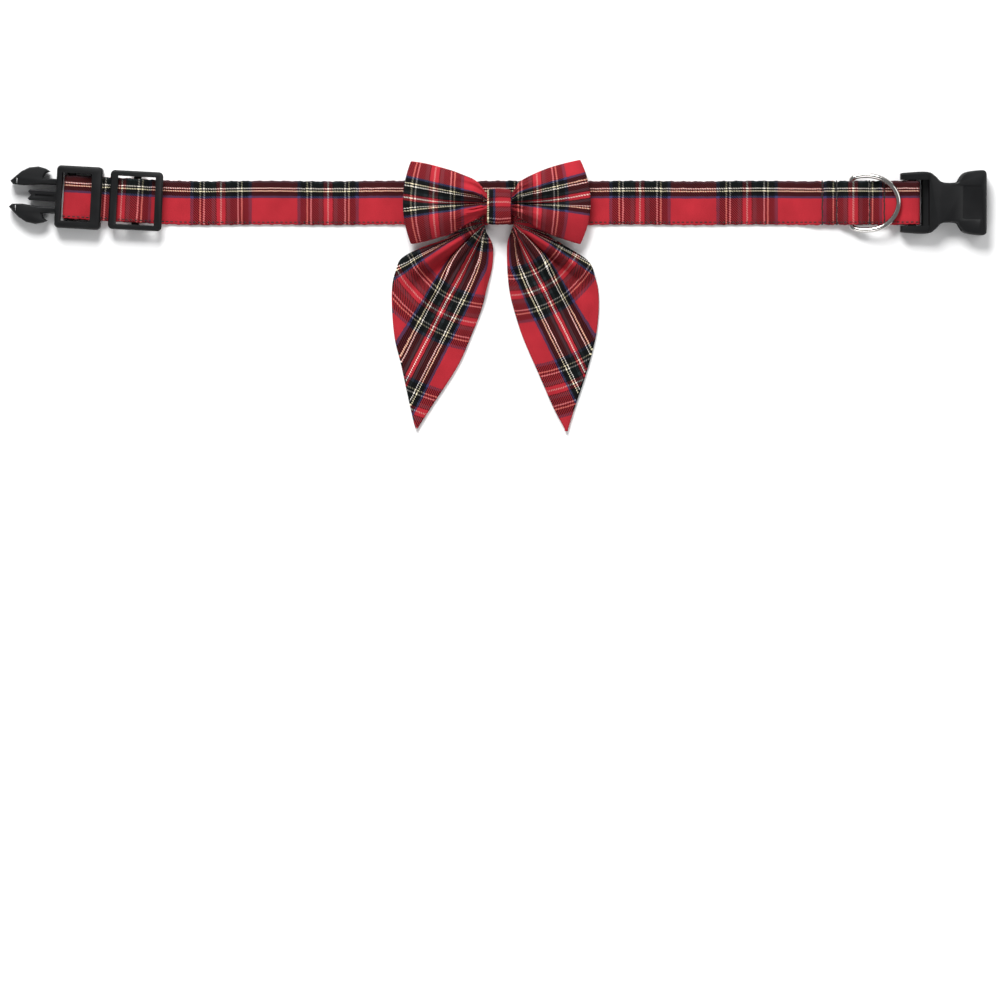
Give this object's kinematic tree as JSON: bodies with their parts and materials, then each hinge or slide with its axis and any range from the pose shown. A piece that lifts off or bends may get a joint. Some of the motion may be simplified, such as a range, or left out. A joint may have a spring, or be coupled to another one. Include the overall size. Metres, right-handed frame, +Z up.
{
  "type": "pet bow tie collar",
  "caption": "Plaid cloth pet collar lying open and flat, with a sailor bow on elastic loops, a side-release buckle, a slider and a leash ring.",
  "frame": {"origin": "centre of the whole collar's bounding box, on the surface that it lies on", "axes": "+X along the strap towards the socket, +Y across the strap away from the bow's tails, +Z up from the surface, out of the collar's front"},
  "size_m": [0.5556, 0.1546, 0.0162],
  "materials": {
    "plaid_cloth": "woven tartan cotton, red with dark green, blue, yellow and white lines",
    "white_elastic": "ribbed woven elastic",
    "black_plastic": "moulded acetal, fine satin",
    "ring_steel": "nickel plated steel wire, polished"
  },
  "bodies": {
    "collar": {"strap": "plaid_cloth", "bow_loops": "plaid_cloth", "bow_knot": "plaid_cloth", "tail_left": "plaid_cloth", "tail_right": "plaid_cloth", "elastic_left": "white_elastic", "elastic_right": "white_elastic", "plug": "black_plastic", "slider": "black_plastic", "socket": "black_plastic"},
    "leash_ring": {"d_ring": "ring_steel"}
  },
  "joints": [
    {"name": "ring_swing", "type": "hinge", "parent": "collar", "child": "leash_ring", "pos_m": [0.20144, 0.05269, 0.0036], "axis": [0, -1, 0], "range_deg": [0, 160]}
  ]
}
